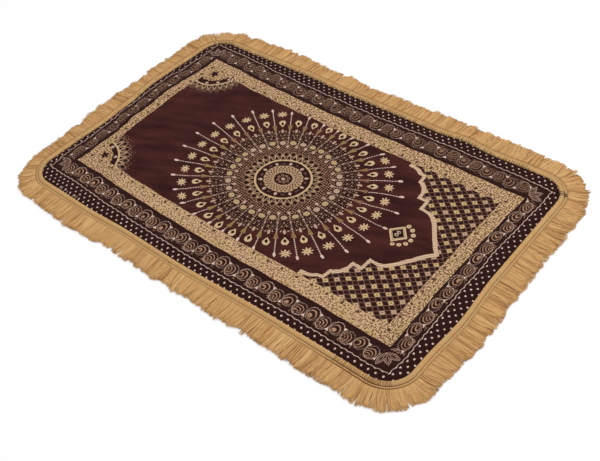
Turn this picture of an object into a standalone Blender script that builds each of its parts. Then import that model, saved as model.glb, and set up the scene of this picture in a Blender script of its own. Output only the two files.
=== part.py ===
# A padded prayer rug lying flat on the floor: a quilted cloth panel with rounded corners,
# and one length of fringe sewn round its four sides.
#
# Metres, +Z up. The origin is on the floor under the middle of the rug, fringe included.
# +Y runs along the rug to the end with the prayer arch, +X to the right of someone who
# faces that way. The underside of both pieces is the plane z = 0.
import math
import random
from typing import NamedTuple

import bmesh
import bpy
from mathutils import Vector


class Reach(NamedTuple):
    along: float  # place along that side, in X or Y
    out: float  # distance from the middle of the rug, or a length


# Cloth panel, at the edge of its woven face
HALF_WIDTH = 0.331
HALF_LENGTH = 0.539
CORNER_RADIUS = 0.058
FOOT_EDGE = [Reach(-0.25, 0.5420), Reach(-0.09, 0.5475), Reach(0.02, 0.5362),
             Reach(0.11, 0.5315), Reach(0.21, 0.5345)]
RIGHT_EDGE = [Reach(-0.45, 0.3365), Reach(-0.33, 0.3370), Reach(-0.18, 0.3318),
              Reach(-0.05, 0.3325), Reach(0.27, 0.3212), Reach(0.45, 0.3195)]
ARCH_EDGE = [Reach(-0.22, 0.5335), Reach(-0.02, 0.5345), Reach(0.12, 0.5420), Reach(0.24, 0.5365)]
LEFT_EDGE = [Reach(-0.45, 0.3290), Reach(-0.22, 0.3336), Reach(-0.10, 0.3300),
             Reach(0.19, 0.3310), Reach(0.265, 0.3385), Reach(0.34, 0.3325), Reach(0.45, 0.3360)]

EDGE_THICKNESS = 0.0042
RIM_WIDTH = 0.010  # between the edge and the quilted part
STITCH_HEIGHT = 0.0050  # top of the cloth along a quilting line
CROWN_HEIGHT = 0.0071  # top of the padding in the middle of a diamond
QUILT_PITCH = 0.060  # between two parallel quilting lines
CUTS_PER_PITCH = 3
MARGIN_WIDTH = 0.0085  # thin seam margin that runs on under the heading
MARGIN_THICKNESS = 0.0018
CUT_SNAP = 0.0003  # a quilting cut takes in a corner that lies this near to it

# Fringe trim
LOCK_COUNT = 288
FAN_OFFSET = 0.040  # the locks are evenly spaced at this distance from the cloth's edge
CLEARANCE = 0.0003  # between the cloth and the heading
HEADING_WIDTH = 0.019
ROLL_INNER = 0.0056  # height of the roll where it meets the cloth
ROLL_CREST = (0.0045, 0.0080)  # distance from the cloth's edge, height
ROLL_SHOULDER = (0.0088, 0.0062)
SEWN_GROOVE = (0.0108, 0.0034)
ROOT_HEIGHT = 0.0040
FOOT_FRINGE = [Reach(-0.26, 0.0630), Reach(-0.18, 0.0595), Reach(-0.13, 0.0592),
               Reach(-0.08, 0.0530), Reach(0.01, 0.0660), Reach(0.09, 0.0670),
               Reach(0.16, 0.0562), Reach(0.22, 0.0525)]
RIGHT_FRINGE = [Reach(-0.45, 0.0615), Reach(-0.34, 0.0668), Reach(-0.23, 0.0652),
                Reach(-0.19, 0.0610), Reach(-0.08, 0.0606), Reach(0.05, 0.0618),
                Reach(0.15, 0.0665), Reach(0.23, 0.0635), Reach(0.37, 0.0668),
                Reach(0.44, 0.0625)]
ARCH_FRINGE = [Reach(-0.26, 0.0625), Reach(-0.17, 0.0652), Reach(0.00, 0.0645),
               Reach(0.18, 0.0647), Reach(0.25, 0.0605)]
LEFT_FRINGE = [Reach(-0.45, 0.0605), Reach(-0.37, 0.0668), Reach(-0.28, 0.0680),
               Reach(-0.225, 0.0595), Reach(-0.12, 0.0665), Reach(-0.04, 0.0568),
               Reach(0.04, 0.0630), Reach(0.10, 0.0630), Reach(0.16, 0.0685),
               Reach(0.26, 0.0610), Reach(0.35, 0.0690), Reach(0.44, 0.0630)]
LENGTH_WAVE = 0.0008  # slow rise and fall of the tips along the fringe
LENGTH_CYCLES = (7, 19, 31)  # waves in one turn round the rug
LENGTH_JITTER = 0.0016  # from one lock to the next
LEAN_WAVE = 0.0042  # sideways, at the tip
LEAN_CYCLES = (5, 13, 23)
LEAN_JITTER = 0.0013
FRINGE_SEED = 11


class LockRow(NamedTuple):
    share: float  # of the lock's length
    half_width: float  # in lock pitches
    height: float
    lean: float  # share of the lean at the tip


LOCK_ROWS = [LockRow(0.50, 0.43, 0.0034, 0.35), LockRow(1.00, 0.29, 0.0012, 1.00)]

# Finishes
CLOTH_COLOUR = (0.045, 0.014, 0.013, 1.0)
CLOTH_ROUGHNESS = 0.95
FRINGE_COLOUR = (0.552, 0.314, 0.122, 1.0)
FRINGE_ROUGHNESS = 0.9
SMOOTH_UNDER = math.radians(40)


def clear_scene():
    for old in list(bpy.data.objects):
        bpy.data.objects.remove(old)


def make_material(name, colour, roughness):
    material = bpy.data.materials.new(name)
    material.use_nodes = True
    shader = material.node_tree.nodes["Principled BSDF"]
    shader.inputs["Base Color"].default_value = colour
    shader.inputs["Roughness"].default_value = roughness
    shader.inputs["Metallic"].default_value = 0.0
    material.diffuse_color = colour
    return material


def make_object(name, bm, material):
    """Turns a bmesh into a named object, shaded smooth but for its real corners."""
    bmesh.ops.recalc_face_normals(bm, faces=bm.faces)
    mesh = bpy.data.meshes.new(name)
    bm.to_mesh(mesh)
    bm.free()
    mesh.shade_smooth()
    mesh.set_sharp_from_angle(angle=SMOOTH_UNDER)
    mesh.materials.append(material)
    thing = bpy.data.objects.new(name, mesh)
    bpy.context.scene.collection.objects.link(thing)
    return thing


def eased(rows, along):
    """The value of a table at a place along its side, eased from row to row."""
    if along <= rows[0].along:
        return rows[0].out
    for before, after in zip(rows, rows[1:]):
        if along <= after.along:
            t = (along - before.along) / (after.along - before.along)
            return before.out + (after.out - before.out) * t * t * (3 - 2 * t)
    return rows[-1].out


def nominal_station(share):
    """Point and outward normal on the edge of an even rounded rectangle, at a share of the
    way round it from the foot's left corner, anticlockwise from above."""
    straights = (2 * (HALF_WIDTH - CORNER_RADIUS), 2 * (HALF_LENGTH - CORNER_RADIUS))
    arc = math.pi / 2 * (CORNER_RADIUS + FAN_OFFSET)
    left_to_go = share * (2 * sum(straights) + 4 * arc)
    for side in range(4):
        facing = (side - 1) * math.pi / 2
        outward = Vector((math.cos(facing), math.sin(facing)))
        forward = Vector((-outward.y, outward.x))
        half = HALF_WIDTH if side % 2 else HALF_LENGTH
        run = straights[side % 2]
        if left_to_go <= run:
            return outward * half + forward * (left_to_go - run / 2), outward
        left_to_go -= run
        if left_to_go <= arc:
            turn = left_to_go / arc * math.pi / 2
            normal = outward * math.cos(turn) + forward * math.sin(turn)
            centre = outward * (half - CORNER_RADIUS) + forward * (run / 2)
            return centre + normal * CORNER_RADIUS, normal
        left_to_go -= arc
    return nominal_station(0.0)


def cloth_station(index):
    """Point and outward normal on the cloth's real, slightly uneven edge."""
    point, normal = nominal_station((index % LOCK_COUNT) / LOCK_COUNT)
    side = RIGHT_EDGE if point.x > 0 else LEFT_EDGE
    end = ARCH_EDGE if point.y > 0 else FOOT_EDGE
    stretched = Vector((point.x * eased(side, point.y) / HALF_WIDTH,
                        point.y * eased(end, point.x) / HALF_LENGTH))
    return stretched, normal


def edge_point(index, offset, height):
    """A point at a distance outside the cloth's edge, beside one of its stations."""
    point, normal = cloth_station(index)
    return Vector((*(point + normal * offset), height))


def quilt_height(x, y):
    """Top of the padding: low along the two sets of diagonal stitching, full between them."""
    u = (x + y) / math.sqrt(2) / QUILT_PITCH
    v = (x - y) / math.sqrt(2) / QUILT_PITCH
    fullness = math.sqrt(abs(math.sin(math.pi * u) * math.sin(math.pi * v)))
    return STITCH_HEIGHT + (CROWN_HEIGHT - STITCH_HEIGHT) * fullness


def raise_face(bm, face, height):
    """Extrudes a face straight up and returns the new top face. A face with no neighbours
    stays where it is, as the solid's underside."""
    inner = any(len(edge.link_faces) > 1 for edge in face.edges)
    raised = bmesh.ops.extrude_face_region(bm, geom=[face])["geom"]
    if inner:
        bmesh.ops.delete(bm, geom=[face], context="FACES_ONLY")
    corners = [g for g in raised if isinstance(g, bmesh.types.BMVert)]
    bmesh.ops.translate(bm, verts=corners, vec=(0, 0, height))
    return next(g for g in raised if isinstance(g, bmesh.types.BMFace))


def cut_along_diagonals(bm, top):
    """Cuts the top along the quilting lines, and evenly between them."""
    spacing = QUILT_PITCH / CUTS_PER_PITCH
    reach = math.ceil((HALF_WIDTH + HALF_LENGTH) / math.sqrt(2) / spacing)
    for direction in (Vector((1, 1, 0)).normalized(), Vector((1, -1, 0)).normalized()):
        for step in range(-reach, reach + 1):
            edges = dict.fromkeys(edge for face in top for edge in face.edges)
            corners = dict.fromkeys(corner for face in top for corner in face.verts)
            cut = bmesh.ops.bisect_plane(
                bm, geom=[*top, *edges, *corners], dist=CUT_SNAP,
                plane_co=direction * step * spacing, plane_no=direction)
            top = [g for g in cut["geom"] if isinstance(g, bmesh.types.BMFace)]
    return top


def make_cloth():
    """A flat slab with a thin margin round it and its top raised in quilted diamonds."""
    bm = bmesh.new()
    outline = [bm.verts.new(edge_point(index, MARGIN_WIDTH, 0.0)) for index in range(LOCK_COUNT)]
    margin = raise_face(bm, bm.faces.new(outline), MARGIN_THICKNESS)
    bmesh.ops.inset_region(bm, faces=[margin], thickness=MARGIN_WIDTH, use_even_offset=True)
    slab = raise_face(bm, margin, EDGE_THICKNESS - MARGIN_THICKNESS)
    bmesh.ops.inset_region(bm, faces=[slab], thickness=RIM_WIDTH, use_even_offset=True)
    top = cut_along_diagonals(bm, [slab])
    for corner in dict.fromkeys(corner for face in top for corner in face.verts):
        corner.co.z = quilt_height(corner.co.x, corner.co.y)
    return make_object("rug_cloth", bm, make_material("woven_cloth", CLOTH_COLOUR, CLOTH_ROUGHNESS))


def fringe_length(index):
    """Length of the fringe from the cloth's edge, by the side that the station faces."""
    point, normal = cloth_station(index)
    side = RIGHT_FRINGE if point.x > 0 else LEFT_FRINGE
    end = ARCH_FRINGE if point.y > 0 else FOOT_FRINGE
    return eased(side, point.y) * normal.x ** 2 + eased(end, point.x) * normal.y ** 2


def slow_wave(index, cycles):
    """A smooth uneven wave round the rug, between -1 and 1, that closes on itself."""
    turn = 2 * math.pi * index / LOCK_COUNT
    return sum(math.sin(turn * cycle + cycle) for cycle in cycles) / len(cycles)


def heading_section(bm, index):
    """Corners of the heading's cross-section at one station, from the roots of the locks in
    over the roll, down to the seam margin, and back out along the floor."""
    step = MARGIN_WIDTH + CLEARANCE
    profile = [(HEADING_WIDTH, ROOT_HEIGHT), SEWN_GROOVE, ROLL_SHOULDER, ROLL_CREST,
               (CLEARANCE, ROLL_INNER), (CLEARANCE, MARGIN_THICKNESS + CLEARANCE),
               (step, MARGIN_THICKNESS + CLEARANCE), (step, 0.0), (HEADING_WIDTH, 0.0)]
    return [bm.verts.new(edge_point(index, offset, height)) for offset, height in profile]


def grow_lock(bm, root, index, length, lean):
    """Extrudes one lock from the heading's outer wall, between two stations."""
    face = root
    _, normal = cloth_station(index + 0.5)
    sideways = Vector((-normal.y, normal.x, 0.0)) * lean
    for row in LOCK_ROWS:
        offset = HEADING_WIDTH + row.share * (length - HEADING_WIDTH)
        before = edge_point(index, offset, 0.0)
        after = edge_point(index + 1, offset, 0.0)
        previous = list(face.verts)
        face = bmesh.ops.extrude_discrete_faces(bm, faces=[face])["faces"][0]
        for old, corner in zip(previous, face.verts):
            later = (old.co - before).length > (old.co - after).length
            share = 0.5 + row.half_width if later else 0.5 - row.half_width
            height = row.height if old.co.z > 0 else 0.0
            corner.co = before.lerp(after, share) + sideways * row.lean + Vector((0, 0, height))


def make_fringe():
    """The heading is a closed ring of sections, and each stretch of it carries one lock."""
    draw = random.Random(FRINGE_SEED)
    bm = bmesh.new()
    sections = [heading_section(bm, index) for index in range(LOCK_COUNT)]
    roots = []
    for index, here in enumerate(sections):
        following = sections[(index + 1) % LOCK_COUNT]
        for corner in range(len(here)):
            onward = (corner + 1) % len(here)
            face = bm.faces.new((here[corner], here[onward], following[onward], following[corner]))
        roots.append(face)  # the last face closes the section, and is the outer wall
    for index, root in enumerate(roots):
        length = fringe_length(index + 0.5) + LENGTH_WAVE * slow_wave(index, LENGTH_CYCLES)
        length += draw.uniform(-LENGTH_JITTER, LENGTH_JITTER)
        lean = LEAN_WAVE * slow_wave(index, LEAN_CYCLES)
        lean += draw.uniform(-LEAN_JITTER, LEAN_JITTER)
        grow_lock(bm, root, index, length, lean)
    return make_object("fringe", bm, make_material("fringe_yarn", FRINGE_COLOUR, FRINGE_ROUGHNESS))


clear_scene()
make_cloth()
make_fringe()
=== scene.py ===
import math

import bmesh
import bpy
import numpy as np
from mathutils import Matrix, Quaternion, Vector


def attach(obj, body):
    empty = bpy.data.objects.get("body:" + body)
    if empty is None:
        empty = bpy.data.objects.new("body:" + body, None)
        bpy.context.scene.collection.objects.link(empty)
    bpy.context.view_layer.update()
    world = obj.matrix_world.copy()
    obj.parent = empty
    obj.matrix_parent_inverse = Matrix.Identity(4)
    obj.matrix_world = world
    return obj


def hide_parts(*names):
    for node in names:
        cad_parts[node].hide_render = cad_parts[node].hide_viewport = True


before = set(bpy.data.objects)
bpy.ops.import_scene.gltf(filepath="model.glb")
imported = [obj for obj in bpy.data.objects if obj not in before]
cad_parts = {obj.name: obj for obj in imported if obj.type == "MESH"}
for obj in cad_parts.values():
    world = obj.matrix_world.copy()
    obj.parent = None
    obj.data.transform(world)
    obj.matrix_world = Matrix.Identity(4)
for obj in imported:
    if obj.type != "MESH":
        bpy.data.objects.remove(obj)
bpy.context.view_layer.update()  # a quilted prayer rug and the fringe sewn round it
print("frame loaded")

# The cloth's own outline, in metres. A table row is a place along the side and a distance.
outline = {
    "halfWidth": 0.331,
    "halfLength": 0.539,
    "cornerRadius": 0.058,
    "footEdge": ((-0.25, 0.5420), (-0.09, 0.5475), (0.02, 0.5362), (0.11, 0.5315), (0.21, 0.5345)),
    "rightEdge": ((-0.45, 0.3365), (-0.33, 0.3370), (-0.18, 0.3318), (-0.05, 0.3325),
                  (0.27, 0.3212), (0.45, 0.3195)),
    "archEdge": ((-0.22, 0.5335), (-0.02, 0.5345), (0.12, 0.5420), (0.24, 0.5365)),
    "leftEdge": ((-0.45, 0.3290), (-0.22, 0.3336), (-0.10, 0.3300), (0.19, 0.3310),
                 (0.265, 0.3385), (0.34, 0.3325), (0.45, 0.3360)),
    "fanOffset": 0.040,  # the yarns are evenly spaced this far outside the cloth
    "marginWidth": 0.0085,  # thin seam margin under the heading
    "marginThickness": 0.0018,
}


def eased(rows, along):
    places, values = np.transpose(rows)
    row = np.clip(np.searchsorted(places, along) - 1, 0, len(places) - 2)
    t = np.clip((along - places[row]) / (places[row + 1] - places[row]), 0, 1)
    return values[row] + (values[row + 1] - values[row]) * t * t * (3 - 2 * t)


def bySide(x, y, right, left, arch, foot):  # the two values that hold for the side and the end
    side = np.where(x > 0, eased(right, y), eased(left, y))
    end = np.where(y > 0, eased(arch, x), eased(foot, x))
    return side, end


def uneven(x, y):  # moves points of the even rounded rectangle to the rug's real outline
    side, end = bySide(x, y, outline["rightEdge"], outline["leftEdge"], outline["archEdge"],
                       outline["footEdge"])
    return x * side / outline["halfWidth"], y * end / outline["halfLength"]


def edgeAt(share):  # points and outward normals on the cloth's edge, at shares of one turn
    radius, offset = outline["cornerRadius"], outline["fanOffset"]
    halves = (outline["halfLength"], outline["halfWidth"])
    straights = (2 * (halves[1] - radius), 2 * (halves[0] - radius))
    arc = math.pi / 2 * (radius + offset)
    toGo = (share % 1.0) * (2 * sum(straights) + 4 * arc)
    points = np.zeros((len(share), 2))
    normals = np.zeros((len(share), 2))
    for side in range(4):
        facing = (side - 1) * math.pi / 2
        outward = np.array((math.cos(facing), math.sin(facing)))
        forward = np.array((-outward[1], outward[0]))
        run = straights[side % 2]
        straight = (toGo >= 0) & (toGo <= run)
        points[straight] = outward * halves[side % 2] + np.outer(toGo[straight] - run / 2, forward)
        normals[straight] = outward
        toGo = toGo - run
        bend = (toGo > 0) & (toGo <= arc)
        turn = toGo[bend] / arc * math.pi / 2
        fan = np.outer(np.cos(turn), outward) + np.outer(np.sin(turn), forward)
        corner = outward * (halves[side % 2] - radius) + forward * run / 2
        points[bend] = corner + fan * radius
        normals[bend] = fan
        toGo = toGo - arc
    return np.column_stack(uneven(points[:, 0], points[:, 1])), normals


def outside(share, offset, height):  # points beside the cloth's edge
    points, normals = edgeAt(share)
    return np.column_stack((points + normals * np.reshape(offset, (-1, 1)),
                            np.broadcast_to(height, len(points))))


def insideDepth(x, y):  # distance in from the even outline, and the outward direction there
    radius = outline["cornerRadius"]
    qx = np.abs(x) - outline["halfWidth"] + radius
    qy = np.abs(y) - outline["halfLength"] + radius
    outX, outY = np.maximum(qx, 0), np.maximum(qy, 0)
    corner = np.hypot(outX, outY)
    depth = radius - corner - np.minimum(np.maximum(qx, qy), 0)
    reach = np.maximum(corner, 1e-6)  # never nought, as something is divided by it
    alongX = np.where(corner > 1e-6, outX / reach, qx > qy)
    alongY = np.where(corner > 1e-6, outY / reach, qx <= qy)
    return depth, np.sign(x) * alongX, np.sign(y) * alongY


def linear(red, green, blue):  # a screen colour, 0 to 255, as Blender's linear values
    parts = [part / 255 for part in (red, green, blue)]
    parts = [part / 12.92 if part < 0.04 else ((part + 0.055) / 1.055) ** 2.4 for part in parts]
    return (*[part * light["paint"] for part in parts], 1.0)


light = {
    "paint": 0.80,  # surface colours, as a share of how bright they look in this light
    "world": 1.0,
    "key": 26.0,
    "keyPlace": (-1.6, 0.9, 2.4),
    "keySize": 1.8,
    "floor": (0.88, 0.88, 0.88, 1.0),
    "floorHalf": 6.0,
    "floorDrop": 0.0004,
}


# Shader building
class Wire:  # one socket; sums, products and comparisons on it add Math nodes
    def __init__(self, finish, socket):
        self.finish = finish
        self.socket = socket

    def also(self, output):
        return Wire(self.finish, self.socket.node.outputs[output])

    def calc(self, operation, *others):
        return self.finish.maths(operation, self, *others)

    def __add__(self, other):
        return self.calc("ADD", other)

    def __sub__(self, other):
        return self.calc("SUBTRACT", other)

    def __mul__(self, other):
        return self.calc("MULTIPLY", other)

    def __truediv__(self, other):
        return self.calc("DIVIDE", other)

    def __mod__(self, other):
        return self.calc("FLOORED_MODULO", other)

    def __lt__(self, other):
        return self.calc("LESS_THAN", other)

    def __gt__(self, other):
        return self.calc("GREATER_THAN", other)

    def __and__(self, other):
        return self.calc("MINIMUM", other)

    def __or__(self, other):
        return self.calc("MAXIMUM", other)

    def __abs__(self):
        return self.calc("ABSOLUTE")

    def __rsub__(self, other):
        return self.finish.maths("SUBTRACT", other, self)

    __radd__ = __add__
    __rmul__ = __mul__


class Finish:  # one material, with its Principled shader
    def __init__(self, name, roughness, specular=0.2):
        self.material = bpy.data.materials.new(name)
        self.material.use_nodes = True
        self.tree = self.material.node_tree
        self.shader = self.tree.nodes["Principled BSDF"]
        self.feed(self.shader.inputs["Roughness"], roughness)
        self.feed(self.shader.inputs["Specular IOR Level"], specular)

    def feed(self, socket, value):
        if isinstance(value, Wire):
            self.tree.links.new(value.socket, socket)
        else:
            socket.default_value = value

    def node(self, kind, settings=None, inputs=None, output=0):
        made = self.tree.nodes.new("ShaderNode" + kind)
        for name, value in (settings or {}).items():
            if name == "curve":
                line = made.mapping.curves[0]
                while len(line.points) < len(value):
                    line.points.new(0.5, 0.5)
                for point, place in zip(line.points, value):
                    point.location = place
                    point.handle_type = "VECTOR"
                made.mapping.update()
            else:
                setattr(made, name, value)
        for key, value in (inputs or {}).items():
            self.feed(made.inputs[key], value)
        return Wire(self, made.outputs[output])

    def maths(self, operation, *values):
        return self.node("Math", {"operation": operation}, dict(enumerate(values)))

    def paint(self, ground, colour, share):  # a colour is a wire or the name of a thread
        ground, colour = (threads[shade] if isinstance(shade, str) else shade
                          for shade in (ground, colour))
        return self.node("Mix", {"data_type": "RGBA"}, {0: share, 6: ground, 7: colour}, 2)

    def onMap(self, name):  # the first coordinate on a UV map; also(1) is the second
        return self.node("SeparateXYZ", None, {0: self.node("UVMap", {"uv_map": name})})

    def noise(self, x, y, scale, detail=2.0):
        place = self.node("CombineXYZ", None, {0: x, 1: y})
        return self.node("TexNoise", {"noise_dimensions": "2D"},
                         {"Vector": place, "Scale": scale, "Detail": detail})

    def chance(self, number):  # 0 to 1, and the same wherever the number is the same
        return self.node("TexWhiteNoise", {"noise_dimensions": "1D"}, {"W": number})

    def close(self, colour, height, distance, strength=0.5):  # feeds the shader
        relief = {"Height": height, "Distance": distance, "Strength": strength}
        self.feed(self.shader.inputs["Normal"], self.node("Bump", None, relief))
        self.feed(self.shader.inputs["Base Color"], colour)
        return self.material


# Motif shapes, as masks over two distances a and b from the motif's middle
def inOval(a, halfA, b, halfB):
    first = a * (1 / halfA)
    second = b * (1 / halfB)
    return first * first + second * second < 1.0


def inDiamond(a, halfA, b, halfB):
    return abs(a) * (1 / halfA) + abs(b) * (1 / halfB) < 1.0


def between(value, low, high):
    return abs(value - (low + high) / 2) < (high - low) / 2


def waveOf(value, period):  # 1 at whole periods, -1 half way between them
    return (value * (2 * math.pi / period)).calc("COSINE")


def fromMiddle(value, period):  # distance from the nearest whole period
    return abs((value + period / 2) % period - period / 2)


def reachOf(a, b):
    return (a * a + b * b).calc("SQRT")


def crossings(a, b, flecks, first, second, bend, unevenness):  # high where two sets of lines cross
    return waveOf(a + flecks * bend, first) * waveOf(b, second) + flecks * unevenness


def petalled(x, y, petals, size, depth):  # distance from a flower's middle, and the flower
    reach = reachOf(x, y)
    return reach, reach < waveOf(x.calc("ARCTAN2", y), 2 * math.pi / petals) * depth + size


# The woven design, in millimetres from its own middle
threads = {name: linear(*shade) for name, shade in {
    "field": (64, 31, 30),
    "fieldDark": (50, 22, 20),
    "fieldLight": (80, 39, 34),
    "strip": (48, 22, 18),
    "deep": (36, 15, 13),
    "gold": (212, 173, 126),
    "goldWarm": (210, 162, 130),
    "goldGreen": (196, 164, 102),
    "sand": (216, 184, 144),
    "pink": (204, 166, 146),
    "olive": (150, 122, 76),
    "tan": (178, 142, 100),
    "ovalPink": (188, 158, 134),
    "shade": (132, 98, 72),
    "haze": (150, 114, 90),
    "brown": (78, 52, 44),
    "bell": (140, 102, 78),
    "tooth": (206, 172, 132),
    "core": (188, 156, 124),
    "archLight": (226, 194, 162),
    "archDark": (182, 146, 118),
    "netLine": (140, 104, 88),
    "filigree": (178, 138, 108),
    "diamond": (208, 177, 126),
    "diamondPink": (198, 163, 134),
    "ovalGold": (186, 158, 118),
    "mauve": (112, 80, 72),
    "fleck": (100, 66, 44),
    "yarn": (224, 174, 113),
    "yarnDark": (166, 116, 66),
    "yarnLight": (242, 202, 142),
    "roll": (222, 186, 130),
    "sewing": (138, 80, 38),
    "sewingDark": (84, 48, 24),
    "knot": (34, 24, 22),
    "dot": (224, 194, 178),
    "scrollLine": (196, 152, 122),
    "scrollShade": (58, 32, 25),
    "guardLine": (224, 190, 172),
    "backing": (74, 42, 36),
}.items()}
design = {
    "thread": 1.0,  # size of one woven step
    "halfWidth": 247.5,  # outer edge of the gold border
    "halfLength": 475.0,
    "fieldSide": 207.0,
    "fieldFoot": -452.0,
    "fieldArch": 440.0,
    "footFrom": -320.0,  # the corner rosettes have their own finish, towards the foot from here
    "middle": (1.5, 0.0),  # the rug's middle, from the design's
    # how far the weave lies off square: sideways along the rug, and lengthways at its two ends
    "bow": ((-475, -4.0), (-400, -3.4), (-360, -1.1), (-310, 2.6), (-150, 5.8), (0, 6.2),
            (80, 5.0), (150, 2.2), (290, -1.0), (475, -1.0)),
    "footBow": ((-250, -1.5), (-160, -4.5), (-120, -13.0), (-60, -14.0), (10, -9.0), (60, -9.5),
                (85, -3.5), (150, 1.0), (250, 0.0), (305, 7.0)),
    "footBowFrom": (430.0, 480.0),  # it grows between these
    "archBow": ((-250, -3.0), (-160, -6.5), (-70, -11.0), (-30, -8.5), (60, -9.5), (150, -6.5),
                (250, -3.5), (305, -8.0)),
    "archBowFrom": (386.0, 480.0),
    "archDraw": (470.0, 512.0, 0.014),  # it draws in between these, by this share
    "join": 3.0,  # the inner finishes reach this far past the gold border
}


def designPlace(x, y):  # where a point of the cloth lies in the design
    alongY = y * 1000 + design["middle"][1]
    alongX = x * 1000 + design["middle"][0] - eased(design["bow"], alongY)
    for sign, bow, (low, high) in ((-1, design["footBow"], design["footBowFrom"]),
                                   (1, design["archBow"], design["archBowFrom"])):
        alongY = alongY - eased(bow, alongX) * np.clip((alongY * sign - low) / (high - low), 0, 1)
    low, high, draw = design["archDraw"]
    alongX = alongX * (1 + draw * np.clip((alongY - low) / (high - low), 0, 1))
    return alongX, alongY


def stepped(finish):  # design coordinates, in whole threads
    place = finish.node("UVMap", {"uv_map": "weave"})
    size = design["thread"]
    snapped = finish.node("VectorMath", {"operation": "SNAP"}, {0: place, 1: (size, size, size)})
    x = finish.node("SeparateXYZ", None, {0: snapped})
    return x + size / 2, x.also(1) + size / 2


def choose(test, first, second):  # first where the test is 1, second where it is 0
    return second + (first - second) * test


fleckSet = {
    "scale": 0.24,  # of the noise that bends their rows
    "bend": 7.0,
    "pitches": (9.8, 8.8),
    "coarser": 0.22,  # how much larger they are on the left and towards the foot from here
    "coarserFrom": -300.0,
    "rows": 0.42,
    "noise": 4.4,
}


def speckle(finish, x, y):  # uneven flecks, -1 to 1, as of two yarns floating over each other
    noise = finish.noise(x, y, fleckSet["scale"], 1.0)
    bend = noise * fleckSet["bend"]
    coarse = 1 - ((x < 0) | (y < fleckSet["coarserFrom"])) * fleckSet["coarser"]
    first, second = fleckSet["pitches"]
    rows = waveOf((x + y + bend) * coarse, first) * waveOf((x - y - bend) * coarse, second)
    return rows * fleckSet["rows"] + (noise - 0.5) * fleckSet["noise"]


border = {
    "dotColumn": 215.0,  # dark dots along the inner edge
    "dotRows": (448.0, -460.0),
    "dotPitch": 39.5,
    "dotPitchAcross": 39.1,
    "dotSize": 4.16,
    "patch": 0.022,  # scale of its patches of colour
    "gold": (5.0, -1.7),  # how sharply the patches of a colour end, and how far they spread
    "green": (4.0, -2.2),
    "pale": (-0.25, 0.8),  # flecks below this are pale, and how clearly
    "dark": (0.24, 0.04, 0.9),  # above this they are dark where few are, where many are; how clearly
    "many": (-330.0, 430.0),  # many are on the left and beyond these
}


def goldBorder(finish, ground, x, y, flecks):
    ax = abs(x)
    inner = (ax < design["fieldSide"]) & between(y, design["fieldFoot"], design["fieldArch"])
    outer = (ax < design["halfWidth"]) & (abs(y) < design["halfLength"])
    size = border["dotSize"]
    row = fromMiddle(y - border["dotRows"][0], border["dotPitch"])
    spots = inDiamond(ax - border["dotColumn"], size, row, size)
    row = fromMiddle(x - border["dotColumn"], border["dotPitchAcross"])
    for place in border["dotRows"]:
        spots = spots | inDiamond(y - place, size, row, size)
    patch = finish.noise(x, y, border["patch"])
    colour = "goldWarm"
    for thread, (sharp, spread) in (("gold", border["gold"]), ("goldGreen", border["green"])):
        colour = finish.paint(colour, thread, patch * sharp + spread)
    below, clear = border["pale"]
    colour = finish.paint(colour, "sand", (flecks < below) * clear)
    low, high = border["many"]
    few, many, clear = border["dark"]
    above = choose((y > high) | (x < 0) | (y < low), many, few)
    colour = finish.paint(colour, "fleck", (flecks > above) * clear)
    colour = finish.paint(colour, "strip", spots * clear)
    return finish.paint(ground, colour, outer - inner)


def polar(x, y, rays, wide=1.0, long=1.0):
    # radius, angle in rays from +Y, the part of a step from the nearest ray, and a step's length
    across = x / wide
    along = y / long
    radius = reachOf(across, along)
    turn = across.calc("ARCTAN2", along) * (rays / (2 * math.pi))
    step = abs(turn - turn.calc("ROUND"))
    return radius, turn, step, radius * (2 * math.pi / rays)


toothSet = {
    "base": -3.8,
    "tip": (0.4, 40.0),  # height on a ray, and its rise over one step
    "ground": (29.0, -14.0),
    "hole": (1.0, 15.5, 2.6),  # from, to, and less for each millimetre from the middle
    "pearl": 19.5,  # height of the dark diamonds between the tips
    "pearlSizes": (("haze", 9.2, 11.0), ("deep", 6.4, 7.4)),
}


def teeth(finish, colour, above, step, onRay, offRay, clear=1.0):
    # gold teeth with dark holes, and a row of dark diamonds between their tips
    height, rise = toothSet["ground"]
    colour = finish.paint(colour, "brown", between(above, 0, height + step * rise))
    for thread, halfWide, halfLong in toothSet["pearlSizes"]:
        pearl = inDiamond(onRay, halfWide, above - toothSet["pearl"], halfLong)
        colour = finish.paint(colour, thread, pearl * clear)
    height, rise = toothSet["tip"]
    tooth = between(above, toothSet["base"], height + step * rise)
    colour = finish.paint(colour, "tooth", tooth)
    low, high, less = toothSet["hole"]
    return finish.paint(colour, "deep", between(above, low, high - offRay * less))


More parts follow.
